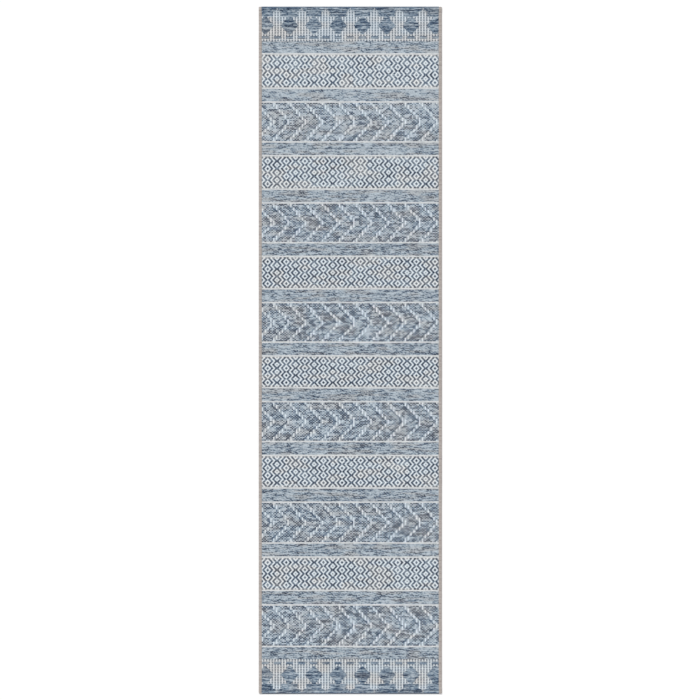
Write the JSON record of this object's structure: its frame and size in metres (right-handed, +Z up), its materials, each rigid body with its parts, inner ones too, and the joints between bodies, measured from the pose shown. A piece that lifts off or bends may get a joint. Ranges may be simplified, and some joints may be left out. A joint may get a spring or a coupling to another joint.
{
  "type": "runner rug",
  "caption": "Flat-woven floor runner in blue, grey and cream bands of diamonds, arrows and plain stripes, with whipped long edges and hemmed ends.",
  "frame": {"origin": "middle of the rug's underside, on the floor it lies on", "axes": "+X across the width, the way the arrows point; +Y along the length, to the far end; +Z up, out of the face"},
  "size_m": [0.8, 3, 0.0069],
  "materials": {
    "backing_yarn": "plain woven undyed synthetic yarn, matt",
    "stripe_yarn": "ribbed weave in space-dyed blue and grey yarn, matt with a slight fibre sheen",
    "diamond_yarn": "patterned weave in blue and cream yarn, matt with a slight fibre sheen",
    "arrow_yarn": "patterned weave in heathered grey, blue, taupe and cream yarn, matt",
    "border_yarn": "patterned weave in blue and cream yarn, matt with a slight fibre sheen",
    "cream_yarn": "ribbed weave in cream yarn, matt",
    "serging_yarn": "tan whipping yarn, wound tight, matt",
    "hem_thread": "grey-blue sewing thread"
  },
  "bodies": {
    "root": {"backing_weave": "backing_yarn", "left_edge_serging": "serging_yarn", "right_edge_serging": "serging_yarn", "far_border_face": "border_yarn", "near_border_face": "border_yarn", "far_hem_stitches": "hem_thread", "near_hem_stitches": "hem_thread", "diamond_face_1": "diamond_yarn", "diamond_face_2": "diamond_yarn", "diamond_face_3": "diamond_yarn", "diamond_face_4": "diamond_yarn", "diamond_face_5": "diamond_yarn", "diamond_face_6": "diamond_yarn", "arrow_face_1": "arrow_yarn", "arrow_face_2": "arrow_yarn", "arrow_face_3": "arrow_yarn", "arrow_face_4": "arrow_yarn", "arrow_face_5": "arrow_yarn", "arrow_face_6": "arrow_yarn", "stripe_face_1": "stripe_yarn", "stripe_face_2": "stripe_yarn", "stripe_face_3": "stripe_yarn", "stripe_face_4": "stripe_yarn", "stripe_face_5": "stripe_yarn", "stripe_face_6": "stripe_yarn", "stripe_face_7": "stripe_yarn", "stripe_face_8": "stripe_yarn", "stripe_face_9": "stripe_yarn", "stripe_face_10": "stripe_yarn", "stripe_face_11": "stripe_yarn", "stripe_face_12": "stripe_yarn", "stripe_face_13": "stripe_yarn", "pinstripe_1": "cream_yarn", "pinstripe_2": "cream_yarn", "pinstripe_3": "cream_yarn", "pinstripe_4": "cream_yarn", "pinstripe_5": "cream_yarn", "pinstripe_6": "cream_yarn", "pinstripe_7": "cream_yarn", "pinstripe_8": "cream_yarn", "pinstripe_9": "cream_yarn", "pinstripe_10": "cream_yarn", "pinstripe_11": "cream_yarn", "pinstripe_12": "cream_yarn", "pinstripe_13": "cream_yarn", "pinstripe_14": "cream_yarn", "pinstripe_15": "cream_yarn", "pinstripe_16": "cream_yarn", "pinstripe_17": "cream_yarn", "pinstripe_18": "cream_yarn", "pinstripe_19": "cream_yarn", "pinstripe_20": "cream_yarn", "pinstripe_21": "cream_yarn", "pinstripe_22": "cream_yarn", "pinstripe_23": "cream_yarn", "pinstripe_24": "cream_yarn"}
  },
  "joints": []
}
